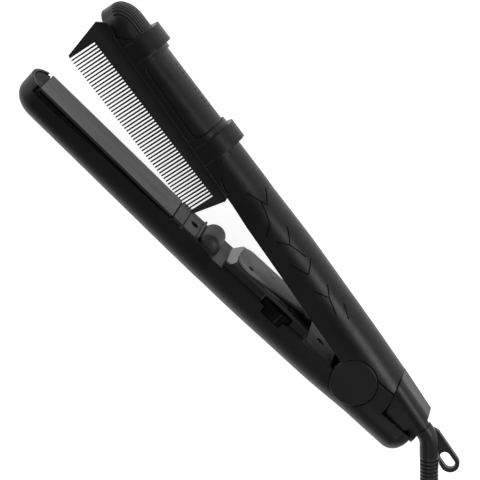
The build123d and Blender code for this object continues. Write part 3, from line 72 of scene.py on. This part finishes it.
class Finish:
    """A node material with grain, uneven gloss and uneven colour."""

    def __init__(self, name, metallic=0.0, specular=0.5, coat=0.0, sheen=0.0):
        self.material = bpy.data.materials.new(name)
        self.material.use_nodes = True
        self.tree = self.material.node_tree
        self.shader = self.tree.nodes["Principled BSDF"]
        self.shader.inputs["Metallic"].default_value = metallic
        self.shader.inputs["Specular IOR Level"].default_value = specular
        self.shader.inputs["Coat Weight"].default_value = coat
        self.shader.inputs["Coat Roughness"].default_value = COAT_ROUGHNESS
        self.shader.inputs["Sheen Weight"].default_value = sheen
        self.place = self.tree.nodes.new("ShaderNodeTexCoord").outputs["Object"]
        self.normal = None

    def noise(self, size, detail=2.0, stretch=None, distortion=0.0):
        """Noise whose features are about size metres across."""
        place = self.place
        if stretch:
            mapping = self.tree.nodes.new("ShaderNodeMapping")
            mapping.inputs["Scale"].default_value = stretch
            self.tree.links.new(place, mapping.inputs["Vector"])
            place = mapping.outputs["Vector"]
        node = self.tree.nodes.new("ShaderNodeTexNoise")
        node.inputs["Scale"].default_value = 1.0 / size
        node.inputs["Detail"].default_value = detail
        node.inputs["Distortion"].default_value = distortion
        self.tree.links.new(place, node.inputs["Vector"])
        return node.outputs["Fac"]

    def spread(self, value, low, high, start=NOISE_LOW, stop=NOISE_HIGH):
        """Go from low to high while the value goes from start to stop."""
        node = self.tree.nodes.new("ShaderNodeMapRange")
        node.inputs["From Min"].default_value = start
        node.inputs["From Max"].default_value = stop
        node.inputs["To Min"].default_value = low
        node.inputs["To Max"].default_value = high
        self.tree.links.new(value, node.inputs["Value"])
        return node.outputs["Result"]

    def colour(self, value, dark, light):
        """Vary the base colour with the value."""
        node = self.tree.nodes.new("ShaderNodeMix")
        node.data_type = "RGBA"
        node.inputs["A"].default_value = (*dark, 1.0)
        node.inputs["B"].default_value = (*light, 1.0)
        self.tree.links.new(self.spread(value, 0.0, 1.0), node.inputs["Factor"])
        self.tree.links.new(node.outputs["Result"], self.shader.inputs["Base Color"])

    def gloss(self, value, low, high):
        """Vary the roughness with the value."""
        self.tree.links.new(self.spread(value, low, high), self.shader.inputs["Roughness"])

    def paint_light_along(self, light, way, start, stop):
        """Painted light: go over to another colour along a direction of the piece, from one distance to
        another.
        """
        along = self.tree.nodes.new("ShaderNodeVectorMath")
        along.operation = "DOT_PRODUCT"
        along.inputs[1].default_value = way
        self.tree.links.new(self.place, along.inputs[0])
        share = self.spread(along.outputs["Value"], 0.0, 1.0, start, stop)
        under = self.shader.inputs["Base Color"].links[0].from_socket
        node = self.tree.nodes.new("ShaderNodeMix")
        node.data_type = "RGBA"
        node.inputs["B"].default_value = (*light, 1.0)
        self.tree.links.new(share, node.inputs["Factor"])
        self.tree.links.new(under, node.inputs["A"])
        self.tree.links.new(node.outputs["Result"], self.shader.inputs["Base Color"])

    def soft_edges(self, radius):
        """Edges that catch the light as if they had a small round."""
        node = self.tree.nodes.new("ShaderNodeBevel")
        node.samples = EDGE_SAMPLES
        node.inputs["Radius"].default_value = radius
        self.normal = node.outputs["Normal"]

    def relief(self, value, depth):
        """Raise and sink the surface's look with the value, on top of any relief before it."""
        node = self.tree.nodes.new("ShaderNodeBump")
        node.inputs["Distance"].default_value = depth
        node.inputs["Strength"].default_value = 1.0
        self.tree.links.new(value, node.inputs["Height"])
        if self.normal:
            self.tree.links.new(self.normal, node.inputs["Normal"])
        self.normal = node.outputs["Normal"]
        self.tree.links.new(self.normal, self.shader.inputs["Normal"])


def tint(colour, factor):
    """A darker or lighter copy of a colour."""
    return tuple(min(1.0, value * factor) for value in colour)


def plastic(name, colour, smooth, rough, grain, depth, specular=0.5, coat=0.0, edge=0.0, painted_light=None):
    """Moulded plastic: fine grain, faint handling marks and slow colour drift."""
    finish = Finish(name, specular=specular, coat=coat)
    finish.colour(finish.noise(size=0.03, detail=3.0), tint(colour, 0.85), tint(colour, 1.15))
    # Painted light: an optional lighter colour over part of the piece.
    if painted_light:
        finish.paint_light_along(*painted_light)
    if edge:
        finish.soft_edges(edge)
    finish.gloss(finish.noise(size=0.012, detail=4.0, distortion=0.4), smooth, rough)
    finish.relief(finish.noise(size=grain), depth)
    return finish.material


def metal(name, colour, smooth, rough, stretch):
    """Bare metal with fine lines along one direction."""
    finish = Finish(name, metallic=1.0)
    finish.colour(finish.noise(size=0.004, detail=3.0), tint(colour, 0.82), tint(colour, 1.1))
    finish.gloss(finish.noise(size=0.0015, detail=3.0, stretch=stretch), smooth, rough)
    finish.relief(finish.noise(size=0.0008, stretch=stretch), depth=0.00001)
    return finish.material


def coating(name, colour):
    """Fired ceramic coat on the plates: dense satin with fine speckle and faint wipe marks."""
    wipe_marks = (0.12, 1.0, 1.0)
    finish = Finish(name, metallic=0.05, specular=0.25)
    finish.colour(finish.noise(size=0.0006), tint(colour, 0.9), tint(colour, 1.1))
    finish.gloss(finish.noise(size=0.004, detail=3.0, stretch=wipe_marks), low=0.3, high=0.42)
    finish.relief(finish.noise(size=0.0004), depth=0.000012)
    return finish.material


def weave(name, colour):
    """Woven strap: waves of thread across one another."""
    threads_scale = 420.0
    threads_waver = 0.6
    finish = Finish(name, specular=0.3, sheen=0.35)
    finish.colour(finish.noise(size=0.0015), tint(colour, 0.7), tint(colour, 1.5))
    finish.gloss(finish.noise(size=0.002), low=0.75, high=0.95)
    for direction in ("X", "Y", "Z"):
        wave = finish.tree.nodes.new("ShaderNodeTexWave")
        wave.bands_direction = direction
        wave.inputs["Scale"].default_value = threads_scale
        wave.inputs["Distortion"].default_value = threads_waver
        finish.tree.links.new(finish.place, wave.inputs["Vector"])
        finish.relief(wave.outputs["Fac"], depth=0.00012)
    return finish.material


def clear(name):
    """Clear indicator lens, slightly frosted."""
    finish = Finish(name)
    finish.shader.inputs["Transmission Weight"].default_value = 0.8
    finish.colour(finish.noise(size=0.002), dark=(0.62, 0.63, 0.63), light=(0.75, 0.76, 0.76))
    finish.gloss(finish.noise(size=0.001), low=0.08, high=0.18)
    finish.relief(finish.noise(size=0.0005), depth=0.00001)
    return finish.material


# Painted light: the comb's blade gets a lighter colour than its rings, for the light its flat face catches;
# the colour changes across the upper arm, near the rim.
ACROSS_UPPER = (math.sin(OPEN_ANGLE), math.cos(OPEN_ANGLE), 0.0)
BLADE_PAINTED_LIGHT = (0.016, 0.0148, 0.015)
BLADE_PAINTED_LIGHT_FADE = (BLADE_PAINTED_LIGHT, ACROSS_UPPER, 0.001, -0.004)

SHELL = plastic("shell_satin", (0.0065, 0.0065, 0.0072), smooth=0.34, rough=0.42,
                grain=0.0007, depth=0.000014, specular=0.2, edge=0.0004)
INNER = plastic("inner_matt", (0.010, 0.0096, 0.010), smooth=0.5, rough=0.6,
                grain=0.0006, depth=0.00002, specular=0.2)
PANEL = plastic("panel_grey", (0.03, 0.0285, 0.0285), smooth=0.46, rough=0.54,
                grain=0.0006, depth=0.000015, specular=0.3)
PILL = plastic("control_top_grey", (0.16, 0.152, 0.154), smooth=0.44, rough=0.52,
               grain=0.0008, depth=0.00001, specular=0.9)
CARRIER = plastic("carrier_matt", (0.004, 0.0037, 0.0045), smooth=0.45, rough=0.58,
                  grain=0.0005, depth=0.00002, specular=0.12)
CONTROL = plastic("control_polished", (0.009, 0.009, 0.0095), smooth=0.1, rough=0.18,
                  grain=0.0015, depth=0.000005, specular=0.3, coat=0.25, edge=0.0006)
WHEEL = plastic("wheel_satin", (0.0015, 0.0015, 0.002), smooth=0.34, rough=0.44,
                grain=0.0005, depth=0.00001, specular=0.1)
CAP = plastic("cap_satin", (0.0125, 0.0115, 0.013), smooth=0.38, rough=0.46,
              grain=0.0006, depth=0.000014, specular=0.16)
# The comb carries painted light: its blade is coloured lighter than its rings.
COMB = plastic("comb_satin", (0.0042, 0.004, 0.005), smooth=0.32, rough=0.42,
               grain=0.0008, depth=0.000014, specular=0.22, edge=0.0006, painted_light=BLADE_PAINTED_LIGHT_FADE)
RUBBER = plastic("cord_rubber", (0.006, 0.006, 0.0066), smooth=0.36, rough=0.48,
                 grain=0.0004, depth=0.000018, specular=0.3)
RELIEF = plastic("relief_rubber", (0.015, 0.015, 0.0155), smooth=0.36, rough=0.48,
                 grain=0.0004, depth=0.000018, specular=0.4)
SCORE = plastic("score_black", (0.0015, 0.0015, 0.0015), smooth=0.6, rough=0.7,
                grain=0.0005, depth=0.00001, specular=0.05)
PAD = plastic("pad_silicone", (0.32, 0.32, 0.31), smooth=0.6, rough=0.75,
              grain=0.0006, depth=0.00003)
BOARD = plastic("board_lacquer", (0.02, 0.16, 0.07), smooth=0.25, rough=0.4,
                grain=0.002, depth=0.00004)
DARK_STEEL = metal("screw_dark", (0.09, 0.09, 0.095), 0.32, 0.5, stretch=(1.0, 1.0, 0.2))
BRIGHT_STEEL = metal("steel_bright", (0.55, 0.55, 0.56), 0.2, 0.35, stretch=(1.0, 1.0, 0.15))
ALUMINIUM = metal("heater_aluminium", (0.62, 0.62, 0.63), 0.3, 0.45, stretch=(0.1, 1.0, 1.0))
BRASS = metal("pin_brass", (0.72, 0.6, 0.36), 0.16, 0.3, stretch=(0.2, 1.0, 1.0))
PLATE = coating("plate_ceramic", (0.024, 0.0232, 0.024))
STRAP = weave("strap_weave", (0.014, 0.014, 0.015))
LENS = clear("lens_clear")

NODE_FINISH = {
    "upper_shell": SHELL, "rear_sleeve": SHELL, "lower_shell": SHELL,
    "upper_cover": INNER, "swivel_retainer": INNER, "lower_frame": PANEL,
    "upper_cover_screws": DARK_STEEL, "lower_frame_screws": DARK_STEEL, "control_plate_screws": DARK_STEEL,
    "upper_plate_carrier": CARRIER, "lower_plate_carrier": CARRIER,
    "upper_plate_pads": PAD, "lower_plate_pads": PAD,
    "upper_plate": PLATE, "lower_plate": PLATE,
    "upper_heater": ALUMINIUM, "lower_heater": ALUMINIUM, "dial_potentiometer": ALUMINIUM,
    "control_housing": CONTROL, "control_plate": PILL, "indicator_lens": LENS,
    "thumbwheel": WHEEL, "circuit_board": BOARD,
    "hinge_pin": BRIGHT_STEEL, "hinge_spring": BRIGHT_STEEL,
    "near_hinge_cap": CAP, "far_hinge_cap": CAP,
    "comb_attachment": COMB,
    "cord_elbow": RUBBER, "strain_relief": RELIEF, "cord_run": RUBBER, "cord_coil": RUBBER,
    "coil_tie": STRAP, "plug_body": RUBBER, "plug_pins": BRASS,
}

# Nodes whose sharp edges get a small round, and its width in metres.
EDGE_ROUND = {
    "upper_shell": 0.0004, "lower_shell": 0.0004, "rear_sleeve": 0.0012, "lower_frame": 0.0003,
    "control_housing": 0.0006, "control_plate": 0.0002, "comb_attachment": 0.0003,
    "lower_plate": 0.0003, "upper_plate": 0.0003, "lower_plate_carrier": 0.0002,
    "near_hinge_cap": 0.0004, "far_hinge_cap": 0.0004, "plug_body": 0.0004, "cord_elbow": 0.0003,
}
EDGE_SEGMENTS = 2
SHARP = math.radians(32.0)


def dress_nodes():
    """Give each node of the frame its material, and a round on its edges."""
    for name, node in NODES.items():
        node.data.materials.clear()
        node.data.materials.append(NODE_FINISH[name])
        if name in EDGE_ROUND:
            bevel = node.modifiers.new("edge_round", "BEVEL")
            bevel.width = EDGE_ROUND[name]
            bevel.segments = EDGE_SEGMENTS
            bevel.limit_method = "ANGLE"
            bevel.angle_limit = SHARP
            bevel.harden_normals = False


# Making pieces


def place_object(name, data):
    """A new object of the scene that shows the mesh, curve, lamp or camera."""
    piece = bpy.data.objects.new(name, data)
    bpy.context.scene.collection.objects.link(piece)
    return piece


def mesh_object(name, mesh, material):
    """A new object that shows the mesh in one material."""
    data = bpy.data.meshes.new(name)
    mesh.to_mesh(data)
    mesh.free()
    piece = place_object(name, data)
    data.materials.append(material)
    return piece


def tube_curve(name, radius, roundness):
    """An empty curve whose splines are round tubes."""
    curve = bpy.data.curves.new(name, "CURVE")
    curve.dimensions = "3D"
    curve.bevel_depth = radius
    curve.bevel_resolution = roundness
    return curve


def add_spline(curve, kind, points):
    """One spline of the curve through or along the points."""
    spline = curve.splines.new(kind)
    spline.points.add(len(points) - 1)
    for slot, point in zip(spline.points, points):
        slot.co = (*point, 1.0)
    return spline


# Cord

CORD_DIAMETER = 0.0066
CORD_ROUNDNESS = 6
CORD_STEPS = 6
CORD_EXIT = (0.08715, -0.03773, 0.0157)
# The run's corners, as in the part's source.
CORD_ROUTE = [
    CORD_EXIT,
    (0.09608, -0.04717, 0.0157),
    (0.10755, -0.05697, 0.01071),
    (0.12062, -0.06526, 0.0046),
    (0.13391, -0.07058, 0.0046),
]
COIL_CENTRE = Vector((0.15987, -0.02498, 0.0046))
COIL_TURNED = math.radians(-113.087)
COIL_RADIUS = 0.0520
COIL_PITCH = 0.0072
TURNS_IN = 3.5
TURNS_OUT = 3.0
TURNS_TO_CLIMB = 0.5
POINTS_PER_TURN = 16
PLUG_ORIGIN = Vector((0.15154, 0.03196, 0.0118))


def coil_control_points():
    """In along the floor, up a layer, and out on top; the spline runs inside its points by their cosine."""
    inmost = round(TURNS_IN * POINTS_PER_TURN)
    last = inmost + round(TURNS_OUT * POINTS_PER_TURN)
    inner = COIL_RADIUS - COIL_PITCH * TURNS_IN
    grow = 1.0 / math.cos(math.pi / POINTS_PER_TURN)
    points = []
    for k in range(last + 1):
        turn = 2 * math.pi * k / POINTS_PER_TURN + COIL_TURNED
        radius = (inner + COIL_PITCH * abs(k - inmost) / POINTS_PER_TURN) * grow
        climb = min(max((k - inmost) / POINTS_PER_TURN / TURNS_TO_CLIMB + 0.5, 0.0), 1.0)
        away = Vector((math.cos(turn), math.sin(turn), 0.0)) * radius
        points.append(COIL_CENTRE + away + Vector((0.0, 0.0, COIL_PITCH * climb)))
    return points


def make_cord():
    """The lead from the strain relief to the plug, by way of the coil."""
    points = [Vector(point) for point in CORD_ROUTE] + coil_control_points() + [PLUG_ORIGIN]
    curve = tube_curve("mains_lead", CORD_DIAMETER / 2, CORD_ROUNDNESS)
    curve.use_fill_caps = True
    curve.resolution_u = CORD_STEPS
    spline = add_spline(curve, "NURBS", points)
    spline.order_u = 3
    spline.use_endpoint_u = True
    curve.materials.append(RUBBER)
    cord = place_object("mains_lead", curve)
    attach(cord, "swivel_cord")
    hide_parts("cord_run", "cord_coil")
    return cord


# Coil strap

STRAP_WIDTH = 0.0088
STRAP_THICKNESS = 0.0008
STRAP_CORNER = 0.0030
STRAP_CORNER_STEPS = 6
# Radii from the coil's centre, and heights above the floor, of the strap's middle line.
STRAP_INNER, STRAP_OUTER = 0.0223, 0.0533
STRAP_LOW, STRAP_HIGH = 0.0006, 0.0154
# The free end: its length, how far the band takes to climb on it, and two heights in thicknesses.
STRAP_LAP = 0.014
LAP_RUN_UP = 0.003
LAP_HALF_UP = 0.4
LAP_UP = 1.15
LAP_STEPS = 6
BAND_STEPS = 4
# Shares of the width, with a second one near each edge, so that smoothing keeps the edge.
STRAP_ACROSS = (-0.5, -0.47, 0.0, 0.47, 0.5)
STRAP_SMOOTHING = 2


def strap_path():
    """Once round the strands, and on over its own start, as (distance from the coil's centre, height)."""
    corners = [(STRAP_INNER, STRAP_HIGH, 90), (STRAP_INNER, STRAP_LOW, 180),
               (STRAP_OUTER, STRAP_LOW, 270), (STRAP_OUTER, STRAP_HIGH, 0)]
    start = (STRAP_INNER + STRAP_OUTER + STRAP_LAP) / 2
    path = [(start - STRAP_LAP * 0.5 * k / BAND_STEPS, STRAP_HIGH) for k in range(BAND_STEPS + 1)]
    for x, z, first in corners:
        middle_x = x + (STRAP_CORNER if x == STRAP_INNER else -STRAP_CORNER)
        middle_z = z + (STRAP_CORNER if z == STRAP_LOW else -STRAP_CORNER)
        for step in range(STRAP_CORNER_STEPS + 1):
            angle = math.radians(first + 90.0 * step / STRAP_CORNER_STEPS)
            across = STRAP_CORNER * math.cos(angle)
            path.append((middle_x + across, middle_z + STRAP_CORNER * math.sin(angle)))
    path += [(start + LAP_RUN_UP, STRAP_HIGH + STRAP_THICKNESS * LAP_HALF_UP)]
    lift = STRAP_HIGH + STRAP_THICKNESS * LAP_UP
    path += [(start - STRAP_LAP * k / LAP_STEPS, lift) for k in range(LAP_STEPS + 1)]
    return path


def make_strap():
    """Woven strap round the coil's strands, with its free end lying on its own band."""
    low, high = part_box("coil_tie")
    outward = ((low + high) / 2 - COIL_CENTRE).to_2d().normalized()
    out = Vector((outward.x, outward.y, 0.0))
    along = Vector((-outward.y, outward.x, 0.0))
    mesh = bmesh.new()
    rows = []
    for x, z in strap_path():
        spot = Vector((COIL_CENTRE.x, COIL_CENTRE.y, z)) + out * x
        rows.append([mesh.verts.new(spot + along * STRAP_WIDTH * share) for share in STRAP_ACROSS])
    for here, there in zip(rows, rows[1:]):
        for j in range(len(STRAP_ACROSS) - 1):
            mesh.faces.new((here[j], here[j + 1], there[j + 1], there[j]))
    bmesh.ops.recalc_face_normals(mesh, faces=mesh.faces)
    strap = mesh_object("coil_strap", mesh, STRAP)
    solid = strap.modifiers.new("thickness", "SOLIDIFY")
    solid.thickness = STRAP_THICKNESS
    solid.offset = 0.0
    round_off = strap.modifiers.new("soften", "SUBSURF")
    round_off.levels = STRAP_SMOOTHING
    round_off.render_levels = STRAP_SMOOTHING
    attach(strap, "swivel_cord")
    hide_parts("coil_tie")
    return strap


# Scored lines on the grip

SCORE_RADIUS = 0.00030
SCORE_ROUNDNESS = 2
SCORE_STEPS = 8
# The grip's middle above the rim, and how far out a ray starts and a second point of it lies.
GRIP_LEVEL = 0.008
RAY_START = 0.06
RAY_AIM = 0.1
# Each line is a row of (reach in millimetres, turn round the grip in degrees from its side face).
SCORES = [
    [(112.0, 12.0), (101.0, 34.0), (108.0, 62.0)],
    [(104.0, 27.0), (93.0, 16.0), (88.0, -4.0)],
    [(86.0, 44.0), (78.0, 24.0), (83.0, 6.0)],
    [(78.0, 24.0), (68.0, 38.0)],
    [(70.0, 2.0), (60.0, 20.0), (66.0, 46.0)],
    [(52.0, 10.0), (44.0, 28.0), (50.0, 42.0)],
    [(44.0, 28.0), (35.0, 20.0)],
    [(37.0, 48.0), (29.0, 36.0)],
]


def surface_of(name):
    """A node's mesh, ready for rays to hit."""
    data = NODES[name].data
    return BVHTree.FromPolygons([v.co for v in data.vertices], [p.vertices for p in data.polygons])


def spot_on_grip(surface, reach, turn):
    """Where a ray towards the grip's middle line meets its surface, or None."""
    middle = on_upper(reach, GRIP_LEVEL, 0.0)
    aim = on_upper(reach, GRIP_LEVEL + RAY_AIM * math.sin(turn), RAY_AIM * math.cos(turn))
    way = (aim - middle).normalized()
    return surface.ray_cast(middle + way * RAY_START, -way)[0]


def make_scores():
    """Fine scored lines: hair-thin dark tubes sunk to half their depth in the upper grip."""
    surface = surface_of("upper_shell")
    curve = tube_curve("grip_scores", SCORE_RADIUS, SCORE_ROUNDNESS)
    for row in SCORES:
        path = []
        for (r0, a0), (r1, a1) in zip(row, row[1:]):
            for step in range(SCORE_STEPS + 1):
                share = step / SCORE_STEPS
                reach = (r0 + (r1 - r0) * share) * MILLIMETRE
                spot = spot_on_grip(surface, reach, math.radians(a0 + (a1 - a0) * share))
                if spot:
                    path.append(spot)
        if len(path) > 1:
            add_spline(curve, "POLY", path)
    curve.materials.append(SCORE)
    scores = place_object("grip_scores", curve)
    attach(scores, "upper_arm")


# Stage

FLOOR_SIZE = 3.0
FLOOR_CELLS = 8
FLOOR_HEIGHT = -0.0003
FLOOR_COLOUR = (0.8, 0.8, 0.8, 1.0)
FLOOR_ROUGHNESS = 0.9
FLOOR_SPECULAR = 0.1
FLOOR_LIFT = 0.9
WHITE = (1.0, 1.0, 1.0, 1.0)

# The room's brightness at two heights above the horizon, where straight up is 1.
HORIZON_LEVEL, HORIZON_HEIGHT = 0.7, 0.1
OVERHEAD_LEVEL, OVERHEAD_HEIGHT = 0.2, 0.8

# Each lamp: its place, its two sides in metres and its power in watts.
LAMPS = {
    "top_box": ((0.6, -0.55, 1.2), (0.35, 0.35), 1.6),
    "back_box": ((0.46, 0.75, 0.53), (0.4, 0.3), 5.0),
    "side_box": ((-1.2, -0.06, 0.2), (0.5, 0.36), 2.5),
}
LAMP_AIM = Vector((-0.08, 0.01, 0.015))

# Millimetres for the lens and the sensor, degrees for the turn.
FOCAL_LENGTH = 162.0
SENSOR_WIDTH = 36.0
CAMERA_PLACE = (-0.19662, 0.40217, 1.03941)
CAMERA_TURN = (-19.2123, 10.1691, 41.9172)
CAMERA_NEAR, CAMERA_FAR = 0.1, 50.0


def seen_directly(tree):
    """One for a ray from the camera, a reflection or a lens, so that these see a white background."""
    path = tree.nodes.new("ShaderNodeLightPath")
    total = path.outputs["Is Camera Ray"]
    for name in ("Is Glossy Ray", "Is Transmission Ray"):
        node = tree.nodes.new("ShaderNodeMath")
        node.operation = "MAXIMUM"
        tree.links.new(total, node.inputs[0])
        tree.links.new(path.outputs[name], node.inputs[1])
        total = node.outputs["Value"]
    return total


def floor_material():
    """Pale matt floor that glows for direct looks only, and keeps the object's shadow."""
    material = bpy.data.materials.new("floor_white")
    material.use_nodes = True
    tree = material.node_tree
    shader = tree.nodes["Principled BSDF"]
    shader.inputs["Base Color"].default_value = FLOOR_COLOUR
    shader.inputs["Roughness"].default_value = FLOOR_ROUGHNESS
    shader.inputs["Specular IOR Level"].default_value = FLOOR_SPECULAR
    shader.inputs["Emission Color"].default_value = WHITE
    lift = tree.nodes.new("ShaderNodeMath")
    lift.operation = "MULTIPLY"
    lift.inputs[1].default_value = FLOOR_LIFT
    tree.links.new(seen_directly(tree), lift.inputs[0])
    tree.links.new(lift.outputs["Value"], shader.inputs["Emission Strength"])
    return material


def make_floor():
    """Wide flat floor under the object."""
    mesh = bmesh.new()
    bmesh.ops.create_grid(mesh, x_segments=FLOOR_CELLS, y_segments=FLOOR_CELLS, size=FLOOR_SIZE)
    floor = mesh_object("studio_floor", mesh, floor_material())
    floor.location = (0.0, 0.0, FLOOR_HEIGHT)


def make_world():
    """White to the camera; for the light a pale room, brighter towards the horizon than overhead."""
    world = bpy.data.worlds.new("studio_world")
    bpy.context.scene.world = world
    world.use_nodes = True
    tree = world.node_tree
    background = tree.nodes["Background"]
    background.inputs["Color"].default_value = WHITE
    split = tree.nodes.new("ShaderNodeSeparateXYZ")
    tree.links.new(tree.nodes.new("ShaderNodeTexCoord").outputs["Generated"], split.inputs["Vector"])
    room = tree.nodes.new("ShaderNodeMapRange")
    room.inputs["From Min"].default_value = HORIZON_HEIGHT
    room.inputs["From Max"].default_value = OVERHEAD_HEIGHT
    room.inputs["To Min"].default_value = HORIZON_LEVEL
    room.inputs["To Max"].default_value = OVERHEAD_LEVEL
    tree.links.new(split.outputs["Z"], room.inputs["Value"])
    path = tree.nodes.new("ShaderNodeLightPath")
    level = tree.nodes.new("ShaderNodeMapRange")
    tree.links.new(room.outputs["Result"], level.inputs["To Min"])
    level.inputs["To Max"].default_value = 1.0
    tree.links.new(path.outputs["Is Camera Ray"], level.inputs["Value"])
    tree.links.new(level.outputs["Result"], background.inputs["Strength"])


def make_lamps():
    """Soft boxes that all face the straightener's middle."""
    for name, (place, sides, power) in LAMPS.items():
        lamp = bpy.data.lights.new(name, "AREA")
        lamp.shape = "RECTANGLE"
        lamp.size, lamp.size_y = sides
        lamp.energy = power
        holder = place_object(name, lamp)
        holder.location = place
        holder.rotation_euler = (LAMP_AIM - Vector(place)).to_track_quat("-Z", "Y").to_euler()


def make_camera():
    """The photograph's camera, as solved from the straightener's edges."""
    data = bpy.data.cameras.new("photo_camera")
    data.lens = FOCAL_LENGTH
    data.sensor_width = SENSOR_WIDTH
    data.clip_start = CAMERA_NEAR
    data.clip_end = CAMERA_FAR
    camera = place_object("photo_camera", data)
    camera.location = CAMERA_PLACE
    camera.rotation_euler = [math.radians(value) for value in CAMERA_TURN]
    bpy.context.scene.camera = camera


dress_nodes()
cord = make_cord()
strap = make_strap()
make_scores()
make_floor()
make_world()
make_lamps()
make_camera()

bpy.context.scene.view_settings.view_transform = "Standard"
